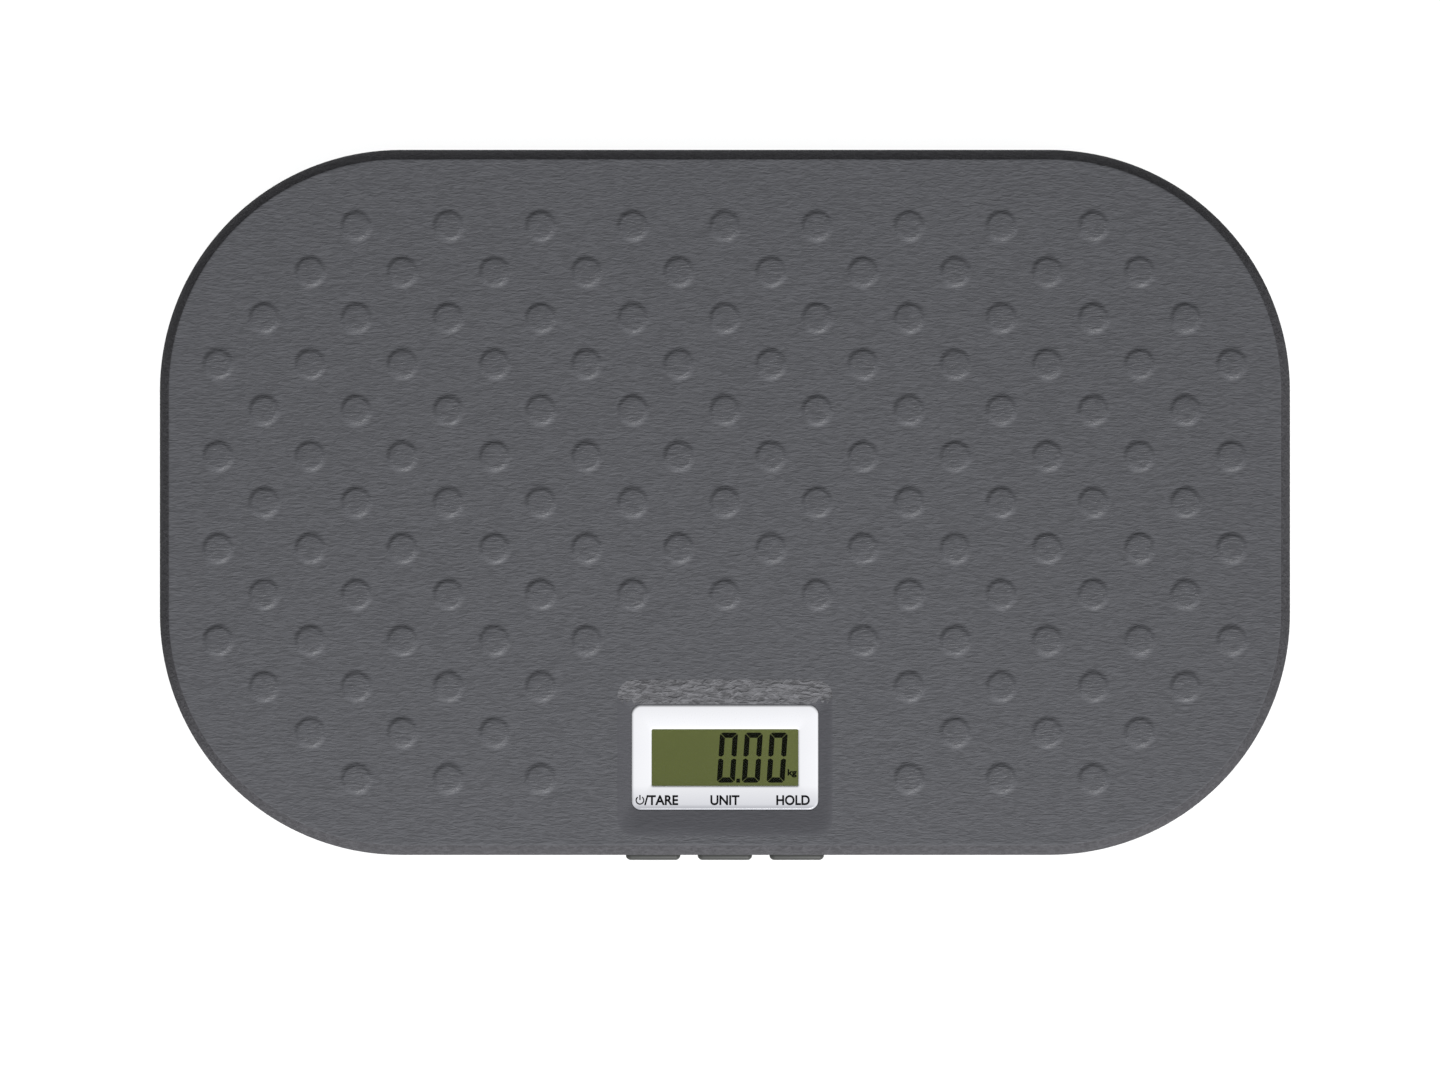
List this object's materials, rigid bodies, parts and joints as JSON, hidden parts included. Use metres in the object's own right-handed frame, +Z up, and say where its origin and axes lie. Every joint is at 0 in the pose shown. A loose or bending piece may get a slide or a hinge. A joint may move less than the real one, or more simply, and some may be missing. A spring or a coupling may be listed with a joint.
{
  "type": "platform animal weighing scale",
  "caption": "Low rectangular weighing platform with large rounded corners, a nubbed rubber mat, a recessed display, front-edge keys and load-cell feet.",
  "frame": {"origin": "centre of the whole footprint, keys included, on the floor under the feet", "axes": "+X to the right as the display is read, +Y towards the rear edge away from the keys, +Z up"},
  "size_m": [0.46, 0.2894, 0.04],
  "materials": {
    "mat_rubber": "matte, fine leather grain",
    "cover_plastic": "fine moulded texture",
    "tray_plastic": "fine moulded texture",
    "bezel_plastic": "satin",
    "gasket_foam": "foam tape",
    "lens_acrylic": "clear, polished",
    "lcd_glass": "olive reflective liquid crystal cell",
    "zebra_silicone": "layered silicone",
    "diffuser_plastic": "milky",
    "board_green": "solder mask",
    "component_black": "moulded epoxy",
    "connector_white": "moulded nylon",
    "buzzer_black": "moulded",
    "switch_metal": "tinned steel",
    "ribbon_film": "flat cable film",
    "cell_steel": "stamped",
    "gauge_film": "polyimide film",
    "clamp_plastic": "moulded",
    "battery_can": null,
    "contact_nickel": "nickel plated",
    "wire_red": "insulation",
    "wire_black": "insulation",
    "key_plastic": "satin",
    "plunger_black": "moulded",
    "foot_plastic": "moulded",
    "foot_rubber": "matte",
    "foam_black": "closed-cell foam",
    "screw_steel": "zinc plated"
  },
  "bodies": {
    "housing": {"base_tray": "tray_plastic", "top_cover": "cover_plastic", "platform_mat": "mat_rubber", "display_gasket": "gasket_foam", "display_bezel": "bezel_plastic", "display_lens": "lens_acrylic", "lcd_panel": "lcd_glass", "zebra_strips": "zebra_silicone", "lcd_backlight": "diffuser_plastic", "main_board": "board_green", "board_components": "component_black", "board_connectors": "connector_white", "buzzer": "buzzer_black", "key_board": "board_green", "key_switches": "switch_metal", "key_ribbon": "ribbon_film", "strain_gauges": "gauge_film", "battery_cells": "battery_can", "battery_springs": "contact_nickel", "battery_contacts": "contact_nickel", "battery_wires": "wire_black", "housing_screws": "screw_steel", "board_screws": "screw_steel", "clamp_screws": "screw_steel", "foot_pad_front_left": "foot_rubber", "foot_cup_front_left": "foot_plastic", "foot_clip_front_left": "cell_steel", "load_cell_front_left": "cell_steel", "cell_clamp_front_left": "clamp_plastic", "cell_wire_front_left": "wire_red", "foot_pad_front_right": "foot_rubber", "foot_cup_front_right": "foot_plastic", "foot_clip_front_right": "cell_steel", "load_cell_front_right": "cell_steel", "cell_clamp_front_right": "clamp_plastic", "cell_wire_front_right": "wire_red", "foot_pad_rear_left": "foot_rubber", "foot_cup_rear_left": "foot_plastic", "foot_clip_rear_left": "cell_steel", "load_cell_rear_left": "cell_steel", "cell_clamp_rear_left": "clamp_plastic", "cell_wire_rear_left": "wire_red", "foot_pad_rear_right": "foot_rubber", "foot_cup_rear_right": "foot_plastic", "foot_clip_rear_right": "cell_steel", "load_cell_rear_right": "cell_steel", "cell_clamp_rear_right": "clamp_plastic", "cell_wire_rear_right": "wire_red"},
    "key_tare": {"key_tare": "key_plastic", "plunger_tare": "plunger_black"},
    "key_unit": {"key_unit": "key_plastic", "plunger_unit": "plunger_black"},
    "key_hold": {"key_hold": "key_plastic", "plunger_hold": "plunger_black"},
    "battery_door": {"battery_door": "tray_plastic", "door_foam": "foam_black"}
  },
  "joints": [
    {"name": "key_tare_press", "type": "slide", "parent": "housing", "child": "key_tare", "axis": [0, 1, 0], "range_m": [0, 0.001], "stiffness_N_per_m": 1500},
    {"name": "key_unit_press", "type": "slide", "parent": "housing", "child": "key_unit", "axis": [0, 1, 0], "range_m": [0, 0.001], "stiffness_N_per_m": 1500},
    {"name": "key_hold_press", "type": "slide", "parent": "housing", "child": "key_hold", "axis": [0, 1, 0], "range_m": [0, 0.001], "stiffness_N_per_m": 1500},
    {"name": "battery_door_hinge", "type": "hinge", "parent": "housing", "child": "battery_door", "pos_m": [0, 0.0706, 0.0083], "axis": [1, 0, 0], "range_deg": [0, 95]}
  ]
}
